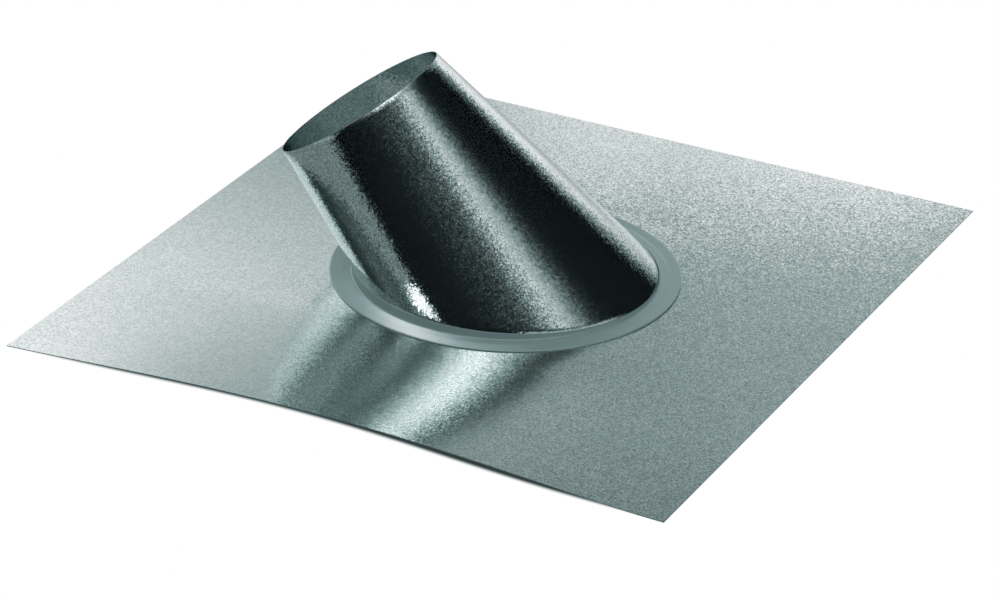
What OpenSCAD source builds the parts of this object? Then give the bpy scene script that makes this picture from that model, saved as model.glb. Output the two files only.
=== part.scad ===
// Pipe roof flashing for a pitched roof: a flat sheet, a leaning tapered cone
// that a round vent pipe passes through, and the spun lock seam that joins them.
//
// Frame: origin at the centre of the pipe hole on the roof plane (underside of
// the sheet), +Z away from the roof, +Y towards the up-slope edge, +X across
// the slope. All sizes are in millimetres.
//
// Name endings: _w width, _l length, _t thickness, _r radius, _h height.

/* [Sheet] */
// Width of the sheet across the slope
base_w = 660; // [560:5:900]
// Length of the sheet along the slope
base_l = 600; // [520:5:900]
// Thickness of the galvanised sheet
base_t = 0.7; // [0.5:0.05:1.2]
// Offset of the sheet's middle from the hole's centre, across the slope
base_x = -4; // [-20:1:20]
// Offset of the sheet's middle from the hole's centre, along the slope
base_y = -5; // [-20:1:20]

/* [Cone] */
// Inside radius of the opening at the top of the cone
rim_r = 77.5; // [70:0.5:84]
// Thickness of the cone's sheet
cone_t = 0.7; // [0.6:0.05:1]
// Lean of the pipe's axis from the sheet's normal, in degrees
pipe_tilt = 35.3; // [32:0.1:38]
// Turn of the cone about the sheet's normal, in degrees
cone_turn = 8.7; // [-20:0.1:20]
// Distance of the rim's centre up the slope from the hole's centre
rim_y = 136.5; // [132:0.5:140]
// Height of the rim's centre above the roof plane
rim_z = 139; // [134:0.5:146]
// Width of the straight band that sizes the rim
rim_land = 5; // [3:0.5:8]
// Outside radius of the short straight neck at the cone's foot
neck_r = 132.4; // [130:0.1:134]
// Mean height of the neck's top above the roof plane
neck_h = 8; // [7.5:0.5:10]
// Slope of the neck's top edge, in degrees
neck_slope = 1.6; // [0:0.1:1.8]
// Direction of the neck's highest side, in degrees from +X
neck_slope_dir = 128; // [90:1:180]

/* [Lock seam] */
// Outside radius of the foot flange that is turned out under the sheet
foot_r = 145; // [142:0.5:146]
// Outside radius of the spun lock ring on top of the sheet
ring_r = 152; // [150:0.5:156]
// Thickness of the lock ring
ring_t = 0.6; // [0.5:0.05:0.8]
// Radius of the ring's fillet round the neck, less one ring thickness
ring_fillet = 3; // [2:0.25:3.5]
// Radius of the faint crease round the middle of the lock ring
crease_r = 141.5; // [140:0.5:143]
// Width of the sealant bead near the lock ring's edge
bead_w = 2; // [1:0.25:2.5]

/* [Side seam] */
// Overlap of the cone's sheet at its side seam, in degrees round the cone
lap_deg = 8; // [7:0.5:10]
// Radius of a seam rivet's shank
rivet_r = 1.6; // [1.2:0.1:1.8]

/* [Hidden] */
$fn = 96;
gap = 0.05;                // clearance allowed between pieces

zinc = [0.66, 0.72, 0.72];
cone_grey = [0.42, 0.47, 0.48];
ring_grey = [0.60, 0.67, 0.69];
sealant_grey = [0.55, 0.56, 0.55];
rivet_grey = [0.75, 0.78, 0.80];

// sheet: the seat is the raised part round the hole
hole_r = neck_r + 0.25;
seat_z = base_t + 0.1;     // underside of the seat
seat_top = seat_z + base_t;
seat_r = foot_r + 1.5;     // outer edge of the seat's underside
seat_slope_w = 2.5;        // width of the slope down from the seat
sheet_cut_r = ring_r + 4;  // where the flat sheet gives way to the seat's disc
seat_disc_r = sheet_cut_r + 1;

// cone
wall_sides = 120;          // sides of the tapered wall
wall_inset = 0.2;          // how far the wall stands inside the rim's straight land
mouth_r = neck_r - 0.35;   // eased mouth under the foot flange
mouth_h = base_t - 0.1;
flange_top = base_t - gap / 2;

// lock ring
band_z = seat_top + gap;   // upper face of the ring's flat band
ring_edge_w = 1.6;         // width of the turned-down outer edge
ring_step = 0.35;          // drop of the outer edge, and rise at the crease
crease_half_w = 0.4;

// ---- points round the cone -------------------------------------------------
// a is the angle round the cone, before the cone's turn

// turns a point about +Z by the cone's turn
function turned(p) = [
    p.x * cos(cone_turn) - p.y * sin(cone_turn),
    p.x * sin(cone_turn) + p.y * cos(cone_turn),
    p.z
];

// a point round the foot, at radius r and height z
function foot_point(a, r, z) = turned([r * cos(a), r * sin(a), z]);

// height of the neck's sloping top edge
function neck_top(a, r) = neck_h + r * tan(neck_slope) * cos(a + cone_turn - neck_slope_dir);

// a point round the rim, at radius r and distance h past the rim's plane
function unturned_rim_point(a, r, h) = [
    r * cos(a),
    rim_y + r * sin(a) * cos(pipe_tilt) + h * sin(pipe_tilt),
    rim_z - r * sin(a) * sin(pipe_tilt) + h * cos(pipe_tilt)
];
function rim_point(a, r, h) = turned(unturned_rim_point(a, r, h));

function mix(p, q, share) = p * (1 - share) + q * share;

// ---- side seam, on the cone's shortest, up-slope line ----------------------

seam_angle = 90;
seam_foot = [0, neck_r, neck_top(seam_angle, neck_r)];
seam_top = unturned_rim_point(seam_angle, rim_r + cone_t, -rim_land);
seam_run = seam_top - seam_foot;
seam_len = norm(seam_run);
seam_lean = atan2(seam_run.y, seam_run.z);
lap_out = 1.25 * cone_t;   // how far the lap's outer leaf stands out at the neck

rivet_count = 4;
first_rivet = 0.14;        // shares of the seam's length
rivet_spread = 0.72;
rivet_z = [for (i = [0:rivet_count - 1])
    seam_len * (first_rivet + rivet_spread * i / (rivet_count - 1))];

// ---- frames ----------------------------------------------------------------

// origin at the rim's centre, +Z out along the pipe
module at_rim() {
    rotate([0, 0, cone_turn]) translate([0, rim_y, rim_z]) rotate([-pipe_tilt, 0, 0]) children();
}

// origin on the wall at the neck's top, +Z up along the seam, +Y out of the wall
module at_seam() {
    rotate([0, 0, cone_turn]) translate(seam_foot) rotate([-seam_lean, 0, 0]) children();
}

// the sloping plane of the neck's top edge
module at_neck_top() {
    translate([0, 0, neck_h])
        rotate([0, 0, neck_slope_dir - 90])
        rotate([neck_slope, 0, 0])
        rotate([0, 0, 90 - neck_slope_dir])
        children();
}

// ---- sheet -----------------------------------------------------------------

// flat sheet with a round hole, raised round the hole to make room for the
// cone's foot flange
module base_sheet() {
    color(zinc) union() {
        difference() {
            translate([base_x - base_w / 2, base_y - base_l / 2, 0]) cube([base_w, base_l, base_t]);
            translate([0, 0, -1]) cylinder(h = base_t + 2, r = sheet_cut_r);
        }
        rotate_extrude() polygon([
            [hole_r, seat_z],
            [seat_r, seat_z],
            [seat_r + seat_slope_w, 0],
            [seat_disc_r, 0],
            [seat_disc_r, base_t],
            [seat_r + seat_slope_w + 0.2, base_t],
            [seat_r + 0.2, seat_top],
            [hole_r, seat_top]
        ]);
    }
}

// ---- cone ------------------------------------------------------------------

// angles round the cone, from the lap's end to just past it one turn later:
// even steps, then close pairs at the lap's edges and a pair at its middle
side_deg = 360 / wall_sides;
edge_deg = 0.35;           // spacing of the close pairs at the lap's edges
lap_middle = seam_angle + 360;
lap_start = lap_middle - lap_deg / 2;
lap_end = lap_middle + lap_deg / 2;
cone_angles = concat(
    [for (i = [0:wall_sides - 1])
        lap_end - 360 + side_deg + i * (360 - lap_deg - 2 * side_deg) / (wall_sides - 1)],
    [lap_start - edge_deg, lap_start, lap_middle - 1, lap_middle + 1, lap_end, lap_end + edge_deg]
);

// 1 where the lap's outer leaf covers angle a, otherwise 0
function lapped(a) = a > lap_start - 0.01 && a < lap_end + 0.01 ? 1 : 0;

// the closed loop round the sheet's section at angle a: foot flange, outside of
// the neck and wall, rim, then back down the inside
function section_at(a) = let (
    top = neck_top(a, neck_r),
    rim_out = rim_r + cone_t + lapped(a) * cone_t,
    neck = foot_point(a, neck_r, top),
    lap_neck = foot_point(a, neck_r + lapped(a) * lap_out, top),
    wall_top = rim_point(a, rim_out, -rim_land),
    neck_in = neck_r - cone_t - wall_inset
) [
    foot_point(a, foot_r, 0),
    foot_point(a, foot_r, flange_top),
    foot_point(a, neck_r, flange_top),
    neck,
    mix(neck, wall_top, 0.03),
    mix(lap_neck, wall_top, 0.04),
    wall_top,
    rim_point(a, rim_out, 0),
    rim_point(a, rim_r - wall_inset, 0),
    rim_point(a, rim_r - wall_inset, -rim_land - 1),
    foot_point(a, neck_in, neck_top(a, neck_r - cone_t)),
    foot_point(a, neck_in, 0)
];

// a closed ring of loops that all have the same number of points
module lofted(loops) {
    count = len(loops);
    size = len(loops[0]);
    polyhedron(
        points = [for (loop = loops) each loop],
        faces = [
            for (i = [0:count - 1], j = [0:size - 1])
            let (
                here = i * size,
                next = (i + 1) % count * size,
                k = (j + 1) % size
            )
            each [[here + j, here + k, next + k], [here + j, next + k, next + j]]
        ],
        convexity = 10
    );
}

// one sheet rolled into a tapered tube: foot flange, neck, tapered wall, rim
// band, and the lap of its side seam
module cone() {
    color(cone_grey) difference() {
        lofted([for (a = cone_angles) section_at(a)]);
        // straight land that sizes the rim
        at_rim() translate([0, 0, -rim_land]) cylinder(h = rim_land + 2, r = rim_r);
        // eased mouth where the foot flange turns up into the neck
        translate([0, 0, -1]) cylinder(h = 1 + mouth_h, r = mouth_r);
        // rivet holes
        for (z = rivet_z)
            at_seam() translate([0, -6, z]) rotate([-90, 0, 0])
                cylinder(h = 12, r = rivet_r + gap, $fn = 32);
    }
}

// ---- lock ring and sealant -------------------------------------------------

function reversed(path) = [for (i = [len(path) - 1:-1:0]) path[i]];

// the points of a path, each moved by distance along its right-hand normal
function offset_right(path, distance) = [
    for (i = [0:len(path) - 1])
    let (
        span = path[min(i + 1, len(path) - 1)] - path[max(i - 1, 0)],
        along = span / norm(span)
    )
    path[i] + distance * [along.y, -along.x]
];

// smooth spun ring that lies round the cone's foot and turns up at the neck
module lock_ring() {
    lip_r = neck_r + 0.1;              // outer face of the upturned lip
    inner_z = band_z + ring_step;      // upper face inside the crease
    face_r = ring_fillet + ring_t;
    // [radius, z] along the exposed face, from the lip's top out to the edge;
    // the ring's thickness lies behind it, under the band and inside the lip
    face = concat(
        [[lip_r, neck_h + 8]],
        [for (i = [0:10]) let (a = 180 + 9 * i)
            [lip_r + face_r + face_r * cos(a), inner_z + face_r + face_r * sin(a)]],
        [
            [crease_r - crease_half_w, inner_z],
            [crease_r + crease_half_w, band_z],
            [ring_r - ring_edge_w, band_z],
            [ring_r, band_z - ring_step]
        ]
    );
    color(ring_grey) difference() {
        rotate_extrude() polygon(concat(face, reversed(offset_right(face, ring_t))));
        // trims the lip just below the neck's top edge
        at_neck_top() translate([-200, -200, -0.3]) cube([400, 400, 60]);
    }
}

// bead of sealant on the sheet, just inside the lock ring's turned-down edge
module ring_sealant() {
    bottom = base_t + 0.02;
    top = band_z - 0.02;
    outer_r = ring_r - ring_edge_w - 0.1;
    color(sealant_grey) rotate_extrude() polygon([
        [outer_r - bead_w + 0.3, bottom],
        [outer_r, bottom],
        [outer_r + 0.25, (bottom + top) / 2 - 0.1],
        [outer_r - 0.2, top],
        [outer_r - bead_w + 0.5, top]
    ]);
}

// ---- rivets ----------------------------------------------------------------

// solid rivet k, counted up from the neck, through both leaves of the side
// seam: domed head outside, flat upset end inside
module seam_rivet(k) {
    head_r = rivet_r * 2;
    head_h = rivet_r * 0.75;
    head_base = lap_out + gap;
    tail_r = rivet_r * 1.5;
    tail_top = -cone_t - wall_inset - 0.55;   // behind the wall's inner face
    tail_end = tail_top - 0.7;
    profile = concat(
        [
            [0, tail_end],
            [rivet_r * 1.3, tail_end],
            [tail_r, tail_top - 0.4],
            [tail_r, tail_top],
            [rivet_r, tail_top],
            [rivet_r, head_base]
        ],
        [for (a = [0:15:90]) [head_r * cos(a), head_base + head_h * sin(a)]]
    );
    color(rivet_grey) at_seam() translate([0, 0, rivet_z[k - 1]]) rotate([-90, 0, 0])
        rotate_extrude($fn = 48) polygon(profile);
}

base_sheet();
cone();
lock_ring();
ring_sealant();
seam_rivet(1);  // seam_rivet_1
seam_rivet(2);  // seam_rivet_2
seam_rivet(3);  // seam_rivet_3
seam_rivet(4);  // seam_rivet_4
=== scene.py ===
"""A galvanised sheet with a slanting conical collar, held by a spun lock ring.

The sheet lies flat on the floor, with the axis of its round hole on +Z through the origin. The
collar rises through the hole and leans towards +Y, turned a little about Z. The camera stands
on the -X, -Y side. The parts are given in millimetres and the studio in metres.
"""
import math

import bmesh
import bpy
import numpy as np
from mathutils import Matrix, Vector


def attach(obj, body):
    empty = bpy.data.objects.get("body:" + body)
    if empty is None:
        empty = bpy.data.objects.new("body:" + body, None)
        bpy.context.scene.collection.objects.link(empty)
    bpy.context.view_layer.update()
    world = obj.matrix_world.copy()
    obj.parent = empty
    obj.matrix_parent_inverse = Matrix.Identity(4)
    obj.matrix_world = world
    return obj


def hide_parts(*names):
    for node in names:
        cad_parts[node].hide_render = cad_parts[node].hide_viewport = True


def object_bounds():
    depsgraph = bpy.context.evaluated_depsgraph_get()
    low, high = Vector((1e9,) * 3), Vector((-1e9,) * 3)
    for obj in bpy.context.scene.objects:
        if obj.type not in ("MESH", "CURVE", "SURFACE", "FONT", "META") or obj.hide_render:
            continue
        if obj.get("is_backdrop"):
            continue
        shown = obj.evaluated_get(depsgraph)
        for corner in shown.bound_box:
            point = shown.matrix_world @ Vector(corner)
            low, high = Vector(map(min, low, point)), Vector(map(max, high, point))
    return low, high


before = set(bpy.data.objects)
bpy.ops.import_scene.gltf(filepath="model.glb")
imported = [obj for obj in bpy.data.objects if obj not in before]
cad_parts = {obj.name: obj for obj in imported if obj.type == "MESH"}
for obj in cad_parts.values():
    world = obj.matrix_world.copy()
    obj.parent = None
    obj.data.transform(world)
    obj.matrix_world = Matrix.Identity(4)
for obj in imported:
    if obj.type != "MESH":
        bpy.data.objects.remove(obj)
size_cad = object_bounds()

MM = 0.001

# ---- sizes of the parts, in millimetres and radians --------------------------------
T = 0.7                       # thickness of the sheet and of the collar
SHEET_X = (-334.0, 326.0)
SHEET_Y = (-305.0, 295.0)
HOLE_R = 132.65
SEAT_R = 146.5                # the sheet is raised inside this radius
SEAT_Z = 0.8
LIFT_START_X = -152.0         # from here the sheet bows up towards its -X edge
LIFT_H = 13.6

FOOT_R = 145.0                # collar: flange under the sheet
NECK_R = 132.4
NECK_H = 8.0
NECK_SLOPE = math.radians(1.6)
NECK_SLOPE_DIR = math.radians(128.0)
TURN = math.radians(8.7)      # collar about Z
TILT = math.radians(35.3)     # rim towards +Y
RIM_Y, RIM_Z, RIM_R = 136.5, 139.0, 77.5
RIM_ROUND = 0.1
LAP = math.radians(8.0)       # width of the lapped strip, centred on the collar's +Y side
LAP_FOOT_RAISE = 0.9          # how far the lapped strip stands out at the neck

RING_R = 152.0
RING_T = 0.6
RING_CREASE_R = 141.5         # middle of the bend between the flat band and the fillet
RING_BEND_HALF = 2.2          # half the bend's width
RING_BEND_RISE = 0.30
RING_FILLET = 1.0
RING_LIP_T = 0.38
RING_GAP = 0.1                # between the neck and the lip

SHARP_ANGLE = math.radians(32.0)


def smoothstep(start, end, x):
    t = np.clip((x - start) / (end - start), 0.0, 1.0)
    return t * t * (3.0 - 2.0 * t)


def between(first, second, share):
    return first * (1 - share) + second * share


def turned(points):
    """Turns points about Z by the collar's turn."""
    c, s = math.cos(TURN), math.sin(TURN)
    x, y, z = points[..., 0], points[..., 1], points[..., 2]
    return np.stack([c * x - s * y, s * x + c * y, z], -1)


def neck_top(angle, radius):
    """Height of the neck's sloping top."""
    return NECK_H + radius * math.tan(NECK_SLOPE) * np.cos(angle + TURN - NECK_SLOPE_DIR)


def foot_point(angle, radius, z):
    """A point on a level circle about the collar's foot."""
    return turned(np.stack([radius * np.cos(angle), radius * np.sin(angle), z + 0.0 * angle], -1))


def neck_end(angle):
    """A point where the neck's outer face meets the conical wall."""
    return foot_point(angle, NECK_R, neck_top(angle, NECK_R))


def rim_point(angle, radius, height=0.0):
    """A point on a circle in the tilted plane of the rim, or at a height above that plane."""
    along = radius * np.sin(angle)
    return turned(np.stack([
        radius * np.cos(angle),
        RIM_Y + along * math.cos(TILT) + height * math.sin(TILT),
        RIM_Z - along * math.sin(TILT) + height * math.cos(TILT)], -1))


# ---- meshes -------------------------------------------------------------------------
def shell_faces(count, points):
    """Quads of a closed ring of closed sections, in order of section and then of row."""
    faces = []
    for i in range(count):
        here, there = i * points, (i + 1) % count * points
        for j in range(points):
            j2 = (j + 1) % points
            faces.append((here + j, there + j, there + j2, here + j2))
    return faces


def make_shell(name, sections, materials, cut_rows=()):
    """Skins sections of shape (sections, points, 3); the cut rows take the second material."""
    count, points = sections.shape[:2]
    mesh = bpy.data.meshes.new(name)
    vertices = [tuple(v) for v in sections.reshape(-1, 3) * MM]
    mesh.from_pydata(vertices, [], shell_faces(count, points))
    mesh.validate()
    mesh.update()
    mesh.shade_smooth()
    ob = bpy.data.objects.new(name, mesh)
    bpy.context.scene.collection.objects.link(ob)

    # point every face outwards
    bm = bmesh.new()
    bm.from_mesh(mesh)
    bmesh.ops.recalc_face_normals(bm, faces=bm.faces)
    bm.to_mesh(mesh)
    bm.free()
    mesh.set_sharp_from_angle(angle=SHARP_ANGLE)

    for material in materials:
        mesh.materials.append(material)
    if cut_rows:
        slots = np.zeros(len(mesh.polygons), dtype=np.int32)
        for row in cut_rows:
            slots[row::points] = 1
        mesh.polygons.foreach_set("material_index", slots)
    return ob


# ---- base sheet -----------------------------------------------------------------------
def sheet_lift(x, y):
    """Height off the flat: the -X edge bows up, and the sheet ripples faintly round the seam."""
    along = np.clip((SHEET_Y[1] - y) / (SHEET_Y[1] - SHEET_Y[0]), 0.0, 1.0)
    # the bow is fuller on its +Y half than on its -Y half
    power = np.where(along < 0.5, 1.15, 1.45)
    bow = np.power(np.maximum(np.sin(np.pi * along), 0), power)
    outward = np.clip((LIFT_START_X - x) / (LIFT_START_X - SHEET_X[0]), 0.0, 1.0)

    radius = np.hypot(x, y)
    angle = np.arctan2(y, x)
    near_seam = np.exp(-np.maximum(radius - 160.0, 0.0) / 55.0) * smoothstep(156.0, 172.0, radius)
    ripple = near_seam * 0.10 * (np.sin(5 * angle + 0.6) + 0.6 * np.sin(9 * angle + 2.1))
    return LIFT_H * bow * np.power(outward, 1.42) + ripple


def build_sheet(materials):
    per_side = 96
    steps_out = 56            # from the last circle to the straight edges
    circles = (HOLE_R, HOLE_R + 0.4, 138.0, 144.0,
               SEAT_R, SEAT_R + 0.6, SEAT_R + 1.3, SEAT_R + 2.0, 149.5, 151.0, 154.0, 158.0)
    (x0, x1), (y0, y1) = SHEET_X, SHEET_Y
    corners = np.array([(x0, y0), (x1, y0), (x1, y1), (x0, y1)])
    share = (np.arange(per_side) / per_side)[:, None]
    edge = np.concatenate([start + (end - start) * share
                           for start, end in zip(corners, np.roll(corners, -1, axis=0))])
    angle = np.arctan2(edge[:, 1], edge[:, 0])

    loops = [np.stack([r * np.cos(angle), r * np.sin(angle)], -1) for r in circles]
    last_circle = loops[-1]
    for out_share in (np.arange(1, steps_out + 1) / steps_out) ** 1.05:
        loops.append(between(last_circle, edge, out_share))
    xy = np.stack(loops, 1)
    radius = np.hypot(xy[..., 0], xy[..., 1])
    z = SEAT_Z * (1 - smoothstep(SEAT_R, SEAT_R + 2.4, radius)) + sheet_lift(xy[..., 0], xy[..., 1])

    # each section runs out along the top, down the cut edge and back along the bottom
    top = np.concatenate([xy, (z + T)[..., None]], -1)
    bottom = np.concatenate([xy, z[..., None]], -1)
    below_corner = top[:, -1:, :].copy()
    below_corner[..., 2] -= 0.12
    sections = np.concatenate([top, below_corner, bottom[:, ::-1, :]], 1)
    rows = len(loops)
    return make_shell("sheet", sections, materials, cut_rows=(rows - 1, rows))


# ---- collar -----------------------------------------------------------------------------
def ruling_offsets(foot_angles):
    """For each foot angle, the turn to the rim angle whose tangent lies in a plane with the
    foot's tangent and the line between them, so that the wall unrolls flat as rolled sheet does."""
    step = 1e-4
    trial = np.radians(np.arange(-40, 40.01, 0.25))
    offsets = np.zeros_like(foot_angles)
    for i, angle in enumerate(foot_angles):
        rim_angles = angle + trial
        line = rim_point(rim_angles, RIM_R + T) - neck_end(angle)
        foot_tangent = neck_end(angle + step) - neck_end(angle - step)
        rim_tangent = rim_point(rim_angles + step, RIM_R + T) - rim_point(rim_angles - step, RIM_R + T)
        twist = np.einsum("ij,ij->i", line, np.cross(foot_tangent, rim_tangent))
        crossings = np.where(np.diff(np.sign(twist)) != 0)[0]
        if len(crossings):
            k = crossings[np.argmin(np.abs(trial[crossings]))]
            part = twist[k] / (twist[k] - twist[k + 1])
            offsets[i] = trial[k] + part * (trial[k + 1] - trial[k])
    return offsets


def collar_angles():
    """Even angles with a close pair at each edge of the lap, and which of them are lapped."""
    even_count, pair_gap, clearance = 480, 0.0035, 0.004
    even = 2 * np.pi * np.arange(even_count) / even_count
    start, end = math.pi / 2 - LAP / 2, math.pi / 2 + LAP / 2
    pairs = np.array([start - pair_gap, start, end, end + pair_gap])
    clear = np.min(np.abs(even[:, None] - pairs[None, :]), 1) > clearance
    angles = np.sort(np.concatenate([even[clear], pairs]))
    lapped = (angles >= start - 1e-9) & (angles <= end + 1e-9)
    return angles, lapped.astype(float)[:, None]


def build_collar(materials):
    foot, lapped = collar_angles()
    rim = foot + ruling_offsets(foot)
    top_z = neck_top(foot, NECK_R)
    outer_low, outer_high = neck_end(foot), rim_point(rim, RIM_R + T)
    inner_low, inner_high = foot_point(foot, NECK_R - T, top_z), rim_point(rim, RIM_R)
    lap_low = foot_point(foot, NECK_R + LAP_FOOT_RAISE, top_z)
    lap_high = rim_point(rim, RIM_R + 2 * T)

    # flange under the sheet, a hair below the sheet's thickness, then the neck
    flange_top = T - 0.03
    rows = [foot_point(foot, FOOT_R, 0.0),
            foot_point(foot, FOOT_R, flange_top),
            foot_point(foot, NECK_R, flange_top)]
    rows += [foot_point(foot, NECK_R, T + (top_z - T) * k) for k in (0.25, 0.5, 0.75)]

    # soft quadratic bend from the neck into the wall
    wall_line = outer_high - outer_low
    wall_length = np.linalg.norm(wall_line, axis=-1, keepdims=True)
    bend_start = foot_point(foot, NECK_R, top_z - 2.0)
    bend_end = outer_low + wall_line / wall_length * 4.5
    for t in np.linspace(0, 1, 12):
        rows.append((1 - t) ** 2 * bend_start + 2 * t * (1 - t) * outer_low + t * t * bend_end)

    # outer wall; the lapped strip steps outwards just above the bend
    for share in np.concatenate([[0.05, 0.06, 0.075], np.linspace(0.09, 1.0, 44)]):
        raised = lapped * smoothstep(0.058, 0.078, share)
        rows.append(between(between(outer_low, outer_high, share),
                            between(lap_low, lap_high, share), raised))

    # cut edge of the rim with its tiny rounds, then down the inside
    cut_at = len(rows)
    rows += [rim_point(rim, RIM_R + T - RIM_ROUND, RIM_ROUND),
             rim_point(rim, RIM_R + RIM_ROUND, RIM_ROUND)]
    rows += [between(inner_low, inner_high, share) for share in np.linspace(1.0, 0.0, 40)]
    rows.append(foot_point(foot, NECK_R - T, 0.0))
    return make_shell("collar", np.stack(rows, 1), materials,
                      cut_rows=(cut_at - 1, cut_at, cut_at + 1))


# ---- lock ring ----------------------------------------------------------------------------
def build_ring(materials):
    count = 540
    angle = 2 * np.pi * np.arange(count) / count
    under_z = SEAT_Z + T + 0.05
    inner_r = NECK_R + RING_GAP
    bend_z = under_z + RING_BEND_RISE
    fillet_r = RING_FILLET + RING_T
    centre_r, centre_z = inner_r + fillet_r, bend_z + fillet_r

    # the flat band is pressed down at its outer edge on the -X side and stands up opposite
    lean = (math.tan(math.radians(3.0)) * np.cos(angle - math.radians(172.0))
            + math.tan(math.radians(0.8)))

    def band_top(r):
        return under_z + RING_T + 0.02 - (r - (RING_R + RING_CREASE_R) / 2) * lean

    # bend between band and fillet, from outside in: radius, share of the rise
    bend = [(RING_CREASE_R + RING_BEND_HALF - 2 * RING_BEND_HALF * t, smoothstep(0.0, 1.0, t))
            for t in [k / 8.0 for k in range(9)]]
    # fillet: angle in the section, thickness, which thins towards the lip
    arc = np.radians(270 - 7.5 * np.arange(0, 13))
    thickness = np.full(13, RING_T)
    thickness[-6:] = np.linspace(RING_T, RING_LIP_T, 6)

    def fillet(t, depth):
        r = fillet_r - depth
        return centre_r + r * math.cos(t), centre_z + r * math.sin(t)

    # the section's outline as (radius, z): turned-down outer edge, then inwards underneath
    outline = [(RING_R, SEAT_Z), (RING_R - 0.5, 0.98), (RING_R - 1.2, under_z - 0.22),
               (RING_R - 2.0, under_z - 0.05), (RING_R - 3.0, under_z)]
    outline += [(r, under_z + RING_BEND_RISE * rise) for r, rise in bend]
    outline += [fillet(t, 0.0) for t in arc]

    # lip up the neck and back, ending a little below the neck's sloping top
    lip_z = np.maximum(neck_top(angle - TURN, NECK_R) - 0.3, centre_z + 0.1)
    outline += [(inner_r, centre_z + (lip_z - 0.15 - centre_z) * k) for k in (0.5, 1.0)]
    outline += [(inner_r + 0.12, lip_z), (inner_r + 0.26, lip_z)]
    outline += [(inner_r + RING_LIP_T, centre_z + (lip_z - 0.12 - centre_z) * k)
                for k in (1.0, 0.5)]

    # upper side, outwards to the rounded outer edge
    outline += [fillet(t, depth) for t, depth in list(zip(arc, thickness))[::-1]]
    outline += [(r, between(band_top(r), bend_z + RING_T, rise)) for r, rise in bend[::-1]]
    # radius, drop below the band's top
    for r, drop in ((145.5, 0.0), (147.5, 0.0), (149.5, 0.0), (151.0, 0.0),
                    (151.4, 0.04), (151.75, 0.15), (151.95, 0.32)):
        outline.append((r, band_top(r) - drop))

    sections = np.stack([np.stack([r * np.cos(angle), r * np.sin(angle), z + 0 * angle], -1)
                         for r, z in outline], 1)
    return make_shell("ring", sections, materials)


# ---- shader nodes ---------------------------------------------------------------------------
class Signal:
    """A node's output; arithmetic on it adds math nodes to the same tree."""

    def __init__(self, socket):
        self.socket = socket
        self.tree = socket.id_data

    def math(self, operation, *others, clamp=False):
        return math_node(self.tree, operation, self, *others, clamp=clamp)

    def __add__(self, other):
        return self.math("ADD", other)

    def __sub__(self, other):
        return self.math("SUBTRACT", other)

    def __rsub__(self, other):
        return math_node(self.tree, "SUBTRACT", other, self)

    def __mul__(self, other):
        return self.math("MULTIPLY", other)

    def vary(self, amount):
        """Goes from 1 - amount to 1 + amount as the signal goes from 0 to 1."""
        return self.math("MULTIPLY_ADD", amount * 2.0, 1.0 - amount)

    def ramp(self, span, values=(0.0, 1.0)):
        """Eases from the first value to the second over the span, and holds outside it."""
        return out(add_node(self.tree, "ShaderNodeMapRange", {
            "Value": self, "From Min": span[0], "From Max": span[1],
            "To Min": values[0], "To Max": values[1]}, interpolation_type="SMOOTHSTEP"))

    def bell(self, centre, width):
        offset = (self - centre) * (1.0 / width)
        return (offset * offset * -0.5).math("EXPONENT")


def feed(node, inputs):
    """Links signals to a node's inputs, and sets the inputs given as constants."""
    for key, value in inputs.items():
        if isinstance(value, Signal):
            value.tree.links.new(value.socket, node.inputs[key])
        else:
            node.inputs[key].default_value = value


def add_node(tree, kind, inputs=None, **settings):
    node = tree.nodes.new(kind)
    for key, value in settings.items():
        setattr(node, key, value)
    feed(node, inputs or {})
    return node


def out(node, key=0):
    return Signal(node.outputs[key])


def math_node(tree, operation, *operands, clamp=False):
    return out(add_node(tree, "ShaderNodeMath", dict(enumerate(operands)),
                        operation=operation, use_clamp=clamp))


def vector_node(tree, operation, *operands, scale=None):
    inputs = dict(enumerate(operands))
    if scale is not None:
        inputs["Scale"] = scale
    node = add_node(tree, "ShaderNodeVectorMath", inputs, operation=operation)
    return out(node, "Value" if operation == "DOT_PRODUCT" else "Vector")


def add_noise(tree, vector, scale, detail):
    return add_node(tree, "ShaderNodeTexNoise",
                    {"Vector": vector, "Scale": scale, "Detail": detail})


def add_bump(tree, height, strength):
    return out(add_node(tree, "ShaderNodeBump",
                        {"Strength": strength, "Distance": 0.0001, "Height": height}))


def split_xyz(tree, vector):
    node = add_node(tree, "ShaderNodeSeparateXYZ", {0: vector})
    return [out(node, i) for i in range(3)]


def new_material(name):
    material = bpy.data.materials.new(name)
    material.use_nodes = True
    tree = material.node_tree
    tree.nodes.clear()
    return material, tree, tree.nodes.new("ShaderNodeOutputMaterial")


def object_place(tree):
    return out(add_node(tree, "ShaderNodeTexCoord"), "Object")


def add_surface(tree, output, colour, normal, metallic, roughness):
    bsdf = add_node(tree, "ShaderNodeBsdfPrincipled", {
        "Base Color": colour, "Normal": normal, "Metallic": metallic, "Roughness": roughness})
    feed(output, {0: out(bsdf)})


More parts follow.
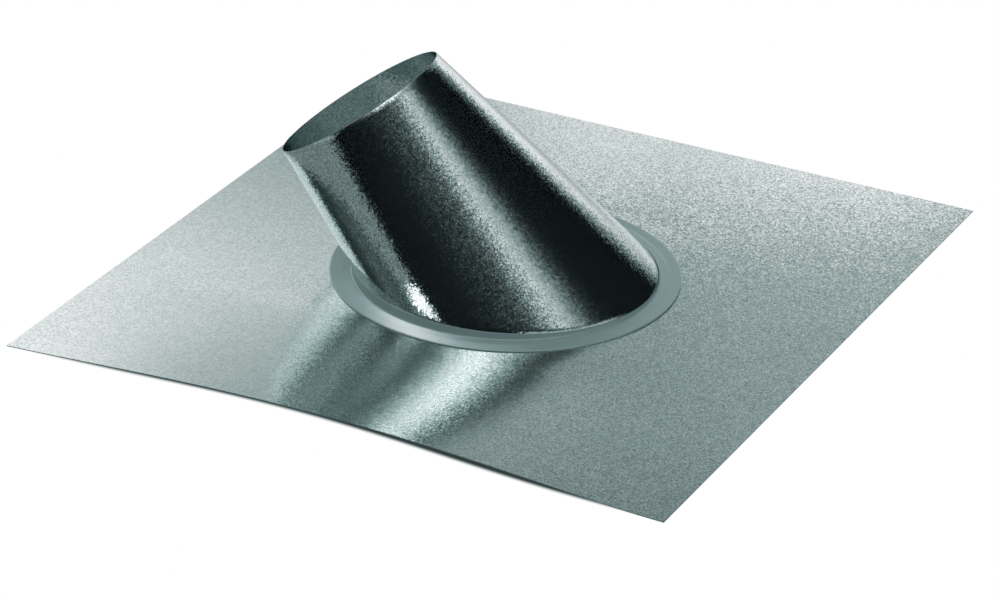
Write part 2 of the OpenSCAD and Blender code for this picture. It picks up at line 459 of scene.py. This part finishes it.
# ---- materials --------------------------------------------------------------------------------
def spangle_steel(name, base, rough, cell, tilt, tone, rough_var):
    """Zinc-coated sheet: tiny crystals of cell millimetres, each tilted and toned differently."""
    material, tree, output = new_material(name)
    place = object_place(tree)

    def centred(colour, amount):
        offset = vector_node(tree, "SUBTRACT", colour, (0.5, 0.5, 0.5))
        return vector_node(tree, "SCALE", offset, scale=amount)

    def crystals(vector, size):
        node = add_node(tree, "ShaderNodeTexVoronoi", {"Scale": 1.0 / size, "Vector": vector},
                        feature="F1")
        return out(node, "Color")

    # warp the cells a little so they aren't neat polygons
    warp = out(add_noise(tree, place, scale=900.0, detail=2.0), "Color")
    warped = vector_node(tree, "ADD", place, centred(warp, amount=cell * 0.25 * MM))
    fine = crystals(warped, size=cell * MM)
    coarse = crystals(warped, size=cell * 2.3 * MM)

    normal = out(add_node(tree, "ShaderNodeNewGeometry"), "Normal")
    fine_tilt = centred(fine, amount=tilt * 2.0)
    coarse_tilt = centred(coarse, amount=tilt * 0.9)
    normal = vector_node(tree, "ADD", vector_node(tree, "ADD", normal, fine_tilt), coarse_tilt)
    normal = vector_node(tree, "NORMALIZE", normal)

    # crystal tones, under a broad, very soft mottling of the coating
    parts = add_node(tree, "ShaderNodeSeparateColor", {0: fine})
    colour = vector_node(tree, "SCALE", base, scale=out(parts, 0).vary(tone))
    mottle = out(add_noise(tree, place, scale=18.0, detail=4.0), "Fac")
    colour = vector_node(tree, "SCALE", colour, scale=mottle.vary(0.05))

    # most crystals are shiny, some are matt
    matt = out(parts, 1).math("POWER", 3.0)
    add_surface(tree, output, colour, normal, metallic=1.0,
                roughness=matt.math("MULTIPLY_ADD", rough_var, rough))
    return material


def spun_steel(name, base, rough, metallic):
    """Smooth spun metal: very fine rings about the seam's axis."""
    material, tree, output = new_material(name)
    place = object_place(tree)
    x, y, z = split_xyz(tree, place)
    radius = (x * x + y * y).math("SQRT")
    height = z * 1.0          # how fast the pattern changes with height
    section = out(add_node(tree, "ShaderNodeCombineXYZ", {0: radius, 1: height}))
    rings = out(add_noise(tree, section, scale=1400.0, detail=3.0), "Fac")
    mottle = out(add_noise(tree, place, scale=60.0, detail=5.0), "Fac")
    colour = vector_node(tree, "SCALE", base, scale=rings.vary(0.08) * mottle.vary(0.06))
    rough_swing = 0.04
    add_surface(tree, output, colour, add_bump(tree, rings, strength=0.03), metallic,
                roughness=mottle.math("MULTIPLY_ADD", rough_swing * 2, rough - rough_swing))
    return material


def matte(name, base, rough, scale, amount, metallic=0.0):
    """Plain surface with a fine grain; amount is how far the grain shifts the tone."""
    material, tree, output = new_material(name)
    grain = out(add_noise(tree, object_place(tree), scale=scale, detail=4.0), "Fac")
    colour = vector_node(tree, "SCALE", base, scale=grain.vary(amount))
    add_surface(tree, output, colour, add_bump(tree, grain, strength=0.3), metallic, rough)
    return material


SHEET_LOOK = spangle_steel("galvanised_sheet_look", (0.66, 0.72, 0.72), rough=0.11, cell=1.15,
                           tilt=0.018, tone=0.29, rough_var=0.10)
COLLAR_LOOK = spangle_steel("galvanised_cone_look", (0.62, 0.68, 0.68), rough=0.09, cell=0.90,
                            tilt=0.045, tone=0.42, rough_var=0.05)
RING_LOOK = spun_steel("spun_ring_look", (0.262, 0.298, 0.304), rough=0.37, metallic=0.66)
EDGE_LOOK = matte("sheared_edge_look", (0.26, 0.29, 0.29), rough=0.45, scale=900.0, amount=0.15,
                  metallic=1.0)
SEAL_LOOK = matte("sealant_look", (0.10, 0.105, 0.105), rough=0.6, scale=700.0, amount=0.15)
RIVET_LOOK = matte("rivet_look", (0.72, 0.74, 0.75), rough=0.3, scale=500.0, amount=0.06,
                   metallic=1.0)

# ---- pieces -------------------------------------------------------------------------------------
sheet = build_sheet((SHEET_LOOK, EDGE_LOOK))
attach(sheet, "root")
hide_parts("base_sheet")

collar = build_collar((COLLAR_LOOK, EDGE_LOOK))
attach(collar, "root")
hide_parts("cone")

ring = build_ring((RING_LOOK,))
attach(ring, "root")
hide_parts("lock_ring")

# the sealant and the rivets keep their CAD shape
for name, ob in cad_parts.items():
    for start, look in (("ring_sealant", SEAL_LOOK), ("seam_rivet", RIVET_LOOK)):
        if name == start or (look is RIVET_LOOK and name.startswith(start)):
            ob.data.materials.clear()
            ob.data.materials.append(look)

# ---- view ---------------------------------------------------------------------------------------
scene = bpy.context.scene
view = scene.view_settings
view.view_transform = "Standard"
view.look = "None"
view.exposure = 0.0
view.gamma = 1.0
# a cool grade: mid and dark tones lean to cyan, whites stay neutral
view.use_curve_mapping = True
grade = view.curve_mapping
grade.use_clip = False
red = grade.curves[0]
red.points[0].location = (0.0, 0.0)
red.points[1].location = (1.0, 1.0)
# red in, red out
for tone_in, tone_out in ((0.02, 0.0145), (0.10, 0.078), (0.21, 0.168), (0.31, 0.262),
                          (0.42, 0.385), (0.55, 0.535), (0.70, 0.71)):
    red.points.new(tone_in, tone_out)
grade.update()


# ---- floor --------------------------------------------------------------------------------------
def mix_shaders(tree, factor, first, second):
    return out(add_node(tree, "ShaderNodeMixShader", {0: factor, 1: first, 2: second}))


def outside(place, ends):
    """Distance beyond a pair of sheet edges, negative between them."""
    middle = (ends[0] + ends[1]) / 2 * MM
    return (place - middle).math("ABSOLUTE") - (ends[1] - ends[0]) / 2 * MM


def floor_look():
    """White to the camera with a painted shadow under the sheet; a soft grey sweep when mirrored."""
    material, tree, output = new_material("floor_look")
    mottle = out(add_node(tree, "ShaderNodeTexNoise", {"Scale": 40.0}), "Fac")
    colour = vector_node(tree, "SCALE", (0.86, 0.86, 0.86), scale=mottle.vary(0.01))
    plain_floor = add_node(tree, "ShaderNodeBsdfPrincipled", {
        "Base Color": colour, "Roughness": 1.0, "Specular IOR Level": 0.0})
    rays = add_node(tree, "ShaderNodeLightPath")
    geometry = add_node(tree, "ShaderNodeNewGeometry")
    x, y, _ = split_xyz(tree, out(geometry, "Position"))

    sweep = x.ramp(span=(-0.2, 0.8), values=(0.26, 0.62))
    mirrored = add_node(tree, "ShaderNodeEmission", {"Strength": sweep})

    # painted shadow under the sheet: its edge is pulled a little way in under the -X edge that stands
    # off the floor, as if light reached in there
    beyond_x, beyond_y = outside(x, SHEET_X), outside(y, SHEET_Y)
    lit_from, lit_length, lit_depth = -0.25, 0.56, 0.0165
    along = y.math("MULTIPLY_ADD", 1.0 / lit_length, -lit_from / lit_length, clamp=True)
    reach = (along * math.pi).math("SINE").math("POWER", 2.0)
    near_edge = x.ramp(span=(-0.30, -0.20), values=(1.0, 0.0))
    beyond = beyond_x.math("MAXIMUM", beyond_y) + reach * near_edge * lit_depth
    # painted shadow: a dark emission under the sheet and white beyond its edges, set by position alone
    shade = beyond.ramp(span=(-0.006, 0.0005), values=(0.045, 1.0))
    painted_floor_shadow = add_node(tree, "ShaderNodeEmission", {"Strength": shade})

    to_camera = out(rays, "Is Camera Ray")
    look = mix_shaders(tree, out(rays, "Is Glossy Ray"), out(plain_floor), out(mirrored))
    look = mix_shaders(tree, to_camera, look, out(painted_floor_shadow))
    # from below the camera looks through it at the object's underside
    clear = out(add_node(tree, "ShaderNodeBsdfTransparent"))
    look = mix_shaders(tree, to_camera * out(geometry, "Backfacing"), look, clear)
    feed(output, {0: look})
    return material


FLOOR_HALF, FLOOR_Z = 6.0, -0.0002
floor_mesh = bpy.data.meshes.new("floor")
floor_mesh.from_pydata([(x * FLOOR_HALF, y * FLOOR_HALF, FLOOR_Z)
                        for x, y in ((-1, -1), (1, -1), (1, 1), (-1, 1))], [], [(0, 1, 2, 3)])
floor = bpy.data.objects.new("floor", floor_mesh)
scene.collection.objects.link(floor)
floor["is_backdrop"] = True
floor_mesh.materials.append(floor_look())

# ---- screen -------------------------------------------------------------------------------------
# a curved screen behind the object that only the metal sees; angles are degrees about Z from +X
SCREEN_R, SCREEN_H = 1.42, 2.3
SCREEN_START, SCREEN_END, SCREEN_STEPS = -24.0, 99.0, 96


def screen_look():
    """Bright below a soft edge, about half as bright above it, and open to the top on the left."""
    material, tree, output = new_material("screen_look")
    material.cycles.emission_sampling = "NONE"
    x, y, height = split_xyz(tree, out(add_node(tree, "ShaderNodeNewGeometry"), "Position"))
    angle = y.math("ARCTAN2", x).math("DEGREES")

    # height of the edge: falls off to the right, climbs on the left, with one small dip
    right_fall = (angle - 8.0).math("MINIMUM", 0.0) * 0.014
    left_rise = ((angle - 26.0).math("MAXIMUM", 0.0) * 0.06).math("MINIMUM", 0.8)
    dip = (right_fall + left_rise, angle.bell(centre=9.5, width=3.0) * 0.022)
    edge = dip[0] + (0.630 - dip[1])
    lit = (height - edge).ramp(span=(-0.085, 0.020), values=(1.0, 0.0))

    # the lit part sags in brightness left of the middle, most of all low down
    tone = 1.0 - angle.bell(centre=30.0, width=7.5) * 0.30
    tone = tone + (angle.bell(centre=21.5, width=2.5) * 0.06
                   - angle.bell(centre=16.5, width=2.5) * 0.09)
    tone = tone + angle.ramp(span=(36.0, 42.0), values=(0.0, 0.045))
    sag = (height.bell(centre=0.43, width=0.13) * angle.ramp(span=(25.0, 33.0))
           * angle.ramp(span=(40.0, 54.0), values=(0.54, 0.0)))
    lower = tone * (1.0 - sag) * 1.02
    upper = (height.ramp(span=(0.62, 1.65), values=(0.40, 0.07))
             * angle.ramp(span=(14.0, 18.0), values=(1.07, 0.94)))
    total = lower * lit + upper * (1.0 - lit)

    # fade out at both ends
    ends = angle.ramp(span=(-16.0, 3.0)) * angle.ramp(span=(80.0, 96.0), values=(1.0, 0.0))
    glow = add_node(tree, "ShaderNodeEmission", {"Strength": total * ends})
    feed(output, {0: out(glow)})
    return material


screen_points = []
for i in range(SCREEN_STEPS + 1):
    angle = math.radians(SCREEN_START + (SCREEN_END - SCREEN_START) * i / SCREEN_STEPS)
    for z in (0.0, SCREEN_H):
        screen_points.append((SCREEN_R * math.cos(angle), SCREEN_R * math.sin(angle), z))
screen_mesh = bpy.data.meshes.new("screen")
screen_mesh.from_pydata(screen_points, [], [(2 * i, 2 * i + 2, 2 * i + 3, 2 * i + 1)
                                            for i in range(SCREEN_STEPS)])
screen = bpy.data.objects.new("screen", screen_mesh)
scene.collection.objects.link(screen)
screen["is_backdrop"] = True
for ray in ("camera", "diffuse", "shadow", "transmission", "volume_scatter"):
    setattr(screen, "visible_" + ray, False)
screen_mesh.materials.append(screen_look())


# ---- lamps --------------------------------------------------------------------------------------
def add_glow(name, place, target, size, energy, lights, shaded_by):
    """A small disk lamp mirrored in one object only, and shaded by one object only."""
    place, target = Vector(place), Vector(target)
    lamp = bpy.data.lights.new(name, "AREA")
    lamp.shape = "DISK"
    lamp.size = size
    lamp.energy = energy
    ob = bpy.data.objects.new(name, lamp)
    scene.collection.objects.link(ob)
    ob.location = place
    ob.rotation_euler = (target - place).to_track_quat("-Z", "Y").to_euler()
    ob.visible_camera = False
    ob.visible_diffuse = False
    receivers = bpy.data.collections.new(name + "_on")
    receivers.objects.link(lights)
    ob.light_linking.receiver_collection = receivers
    blockers = bpy.data.collections.new(name + "_shade")
    blockers.objects.link(shaded_by)
    ob.light_linking.blocker_collection = blockers


# on the lock ring's -X side, as if it mirrored the lit foot of the collar
add_glow("ring_glow", place=(-0.021, 0.086, 0.068), target=(-0.140, 0.025, 0.002),
         size=0.06, energy=0.088, lights=ring, shaded_by=floor)
# close to the foot of the collar on its -X side
add_glow("foot_glow", place=(-0.227, 0.060, 0.009), target=(-0.130, 0.008, 0.014),
         size=0.054, energy=0.0100, lights=collar, shaded_by=screen)

# ---- world --------------------------------------------------------------------------------------
# white for the camera, bright and even for the floor, a dark studio with soft boxes for the metal
world = bpy.data.worlds.new("studio")
scene.world = world
world.use_nodes = True
sky = world.node_tree
sky.nodes.clear()
sky_output = add_node(sky, "ShaderNodeOutputWorld")
direction = vector_node(sky, "NORMALIZE", out(add_node(sky, "ShaderNodeTexCoord"), "Generated"))


def soft_box(azimuth, elevation, spread, power):
    """A round soft light: power * exp(-angle^2 / (2 spread^2)), all angles in degrees."""
    az, el = math.radians(azimuth), math.radians(elevation)
    centre = (math.cos(el) * math.cos(az), math.cos(el) * math.sin(az), math.sin(el))
    closeness = vector_node(sky, "DOT_PRODUCT", direction, centre)
    fall = (closeness - 1.0) * (1.0 / math.radians(spread) ** 2)
    return fall.math("EXPONENT") * power


sky_x, sky_y, sky_z = split_xyz(sky, direction)
azimuth = sky_y.math("ARCTAN2", sky_x).math("DEGREES")
elevation = sky_z.math("ARCSINE").math("DEGREES")
DOWN_TO_0 = (1.0, 0.0)

left_span = azimuth.ramp(span=(82.0, 92.0)) * azimuth.ramp(span=(146.0, 155.0), values=DOWN_TO_0)
left_wall = left_span * (elevation.ramp(span=(10.0, 22.0), values=DOWN_TO_0) * 0.38 + 0.03)
overhead = soft_box(azimuth=170, elevation=83, spread=14.0, power=1.85)
right_box = soft_box(azimuth=-91, elevation=51.5, spread=8.2, power=0.74)
low_wall = (azimuth.ramp(span=(-146.0, -126.0))
            * azimuth.ramp(span=(-70.0, -52.0), values=DOWN_TO_0)
            * elevation.ramp(span=(24.0, 36.0), values=DOWN_TO_0) * 0.55)
left_window = soft_box(azimuth=127, elevation=38, spread=6.0, power=0.8)
faint_fill = math_node(sky, "ADD", 0.0015, 0.0)
studio = left_wall + overhead + right_box + low_wall + left_window + faint_fill

FLOOR_LIGHT, CAMERA_WHITE = 1.9, 1.0
sky_rays = add_node(sky, "ShaderNodeLightPath")
# float mix nodes: input 0 is the factor, 2 and 3 are the values mixed
strength = out(add_node(sky, "ShaderNodeMix", {
    0: out(sky_rays, "Is Glossy Ray"), 2: FLOOR_LIGHT, 3: studio}, data_type="FLOAT"))
strength = out(add_node(sky, "ShaderNodeMix", {
    0: out(sky_rays, "Is Camera Ray"), 2: strength, 3: CAMERA_WHITE}, data_type="FLOAT"))
background = add_node(sky, "ShaderNodeBackground", {"Strength": strength, "Color": (1, 1, 1, 1)})
feed(sky_output, {0: out(background)})

# ---- camera -------------------------------------------------------------------------------------
CAMERA_RIGHT = Vector((0.449169893216924, -0.8928640352753556, 0.03225246561906131))
CAMERA_UP = Vector((0.3819835901159751, 0.22454601500999516, 0.8964751106547636))
CAMERA_FORWARD = Vector((0.8076725474527477, 0.3903497171168032, -0.4419187192640013))
CAMERA_PLACE = Vector((-3.137053987650262, -1.5117128969815267, 1.6899528291673485))

camera_data = bpy.data.cameras.new("camera")
camera = bpy.data.objects.new("camera", camera_data)
scene.collection.objects.link(camera)
turn = Matrix((CAMERA_RIGHT, CAMERA_UP, -CAMERA_FORWARD)).transposed().to_4x4()
camera.matrix_world = Matrix.Translation(CAMERA_PLACE) @ turn
camera_data.sensor_fit = "HORIZONTAL"
camera_data.sensor_width = 36.0
camera_data.lens = 161.4852
camera_data.clip_start = 0.05
camera_data.clip_end = 50.0
scene.camera = camera

# ---- sizes --------------------------------------------------------------------------------------
size_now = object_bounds()


def plain(value):
    """Turns vectors and other sequences into lists that JSON can hold."""
    if isinstance(value, dict):
        return {k: plain(x) for k, x in value.items()}
    if isinstance(value, (int, float, str)) or value is None:
        return value
    return [plain(x) for x in value]


{"cad": plain(size_cad), "visual": plain(size_now)}
